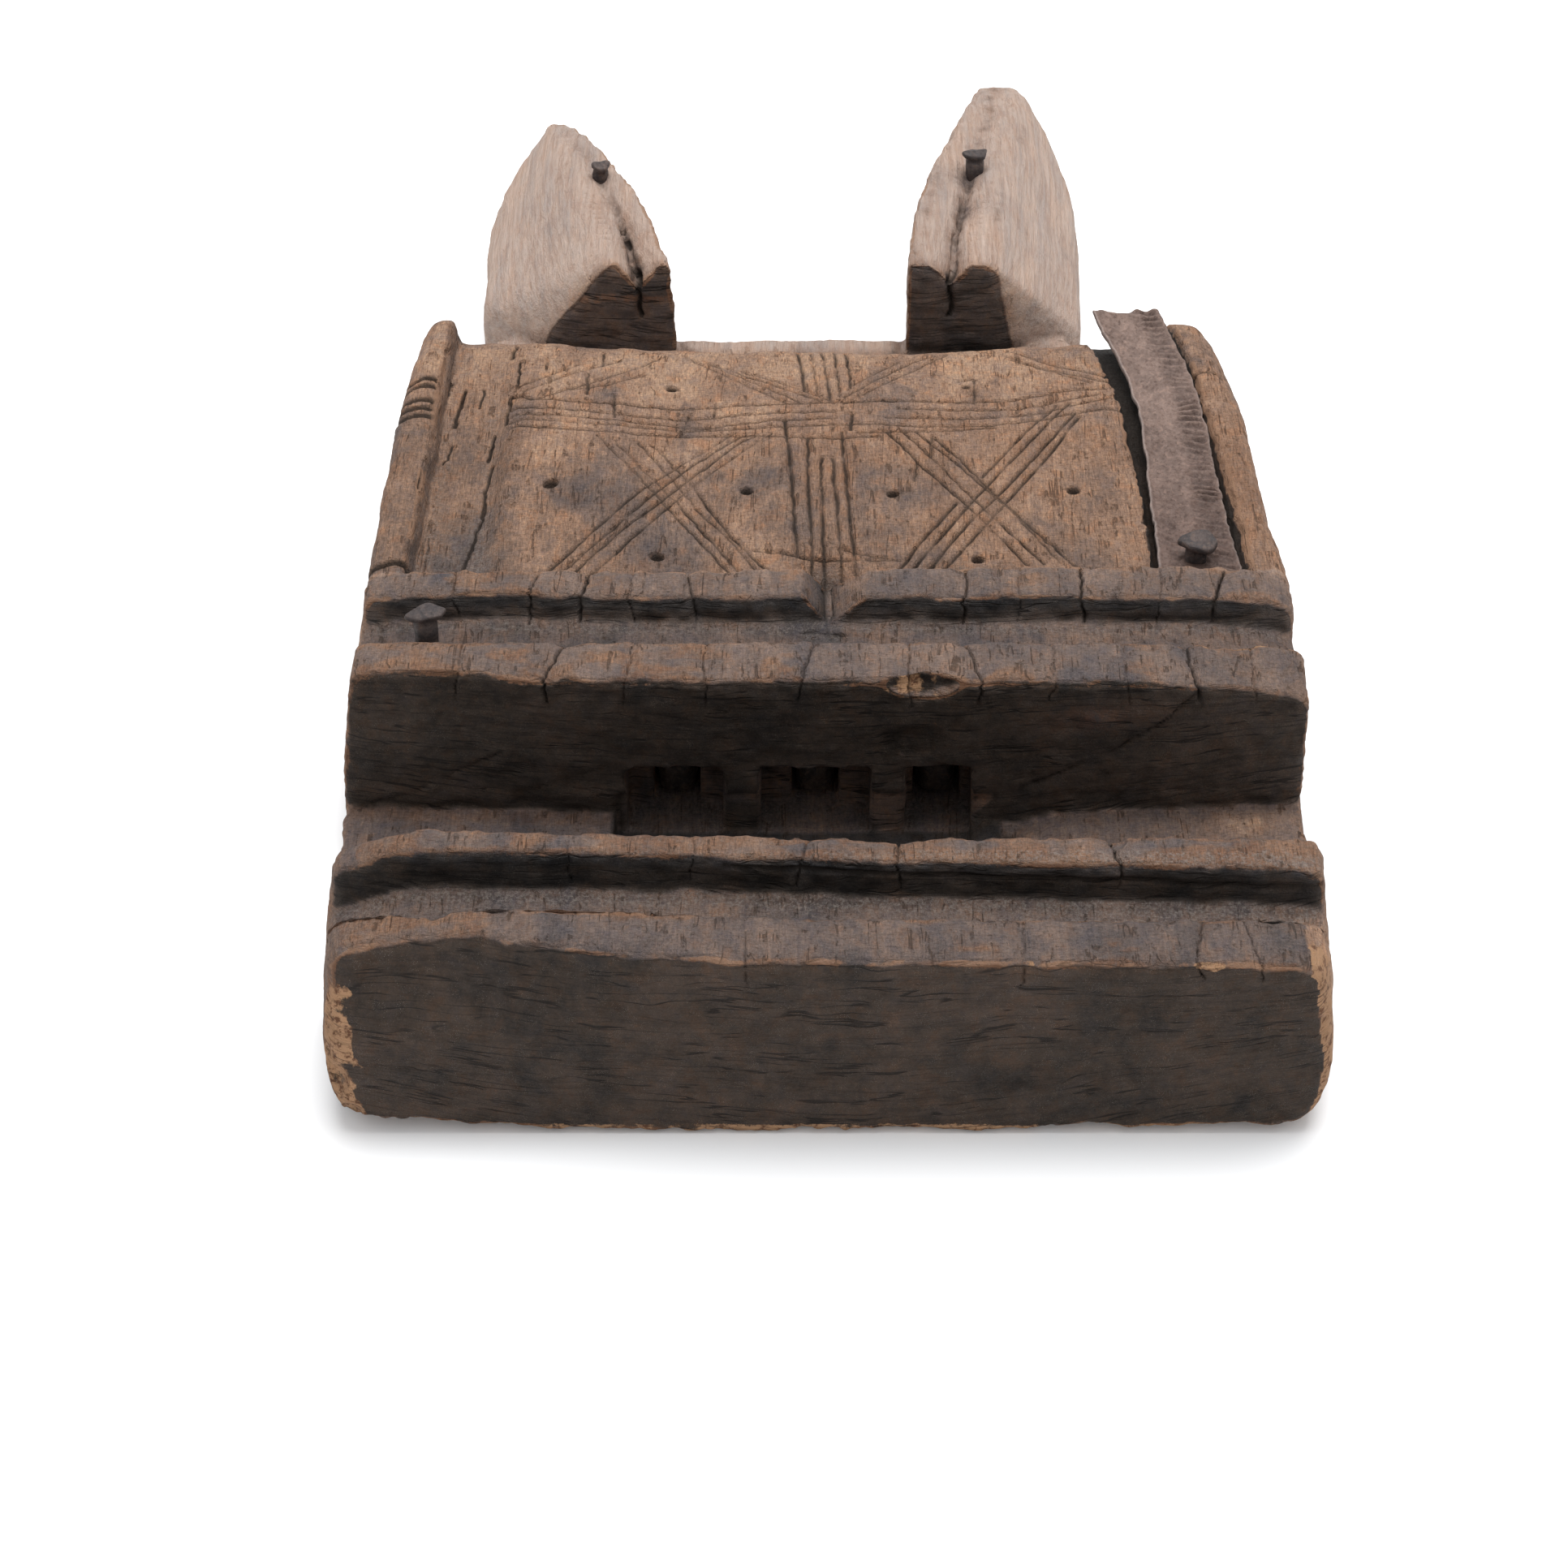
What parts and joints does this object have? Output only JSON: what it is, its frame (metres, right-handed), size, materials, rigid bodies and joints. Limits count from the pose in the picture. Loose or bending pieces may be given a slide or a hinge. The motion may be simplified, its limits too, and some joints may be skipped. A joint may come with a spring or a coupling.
{
  "type": "carved door lock case",
  "caption": "Carved wooden door lock case with a cross channel for a sliding bolt, engraved panel, side strap, ears and falling iron tumblers.",
  "frame": {"origin": "centre of the bounding box on the plane of the back, which lies on the ground or against the door", "axes": "+Z out of the carved front, +Y from the foot to the ears, +X to the side with the iron strap"},
  "size_m": [0.1635, 0.29, 0.0394],
  "materials": {
    "wood": "weathered and handled, dark patina in the channel, worn orange-brown edges",
    "strap_iron": "hammered, oxidised",
    "nail_iron": "forged, oxidised",
    "tumbler_iron": "forged, rusted"
  },
  "bodies": {
    "case": {"lock_case": "wood", "iron_strap": "strap_iron", "groove_nail": "nail_iron", "strap_nail": "nail_iron", "left_ear_nail": "nail_iron", "right_ear_nail": "nail_iron"},
    "tumbler_a": {"tumbler_left": "tumbler_iron"},
    "tumbler_b": {"tumbler_middle": "tumbler_iron"},
    "tumbler_c": {"tumbler_right": "tumbler_iron"}
  },
  "joints": [
    {"name": "tumbler_a_fall", "type": "slide", "parent": "case", "child": "tumbler_a", "axis": [0, -1, 0], "range_m": [0, 0.0175]},
    {"name": "tumbler_b_fall", "type": "slide", "parent": "case", "child": "tumbler_b", "axis": [0, -1, 0], "range_m": [0, 0.0175]},
    {"name": "tumbler_c_fall", "type": "slide", "parent": "case", "child": "tumbler_c", "axis": [0, -1, 0], "range_m": [0, 0.0175]}
  ]
}
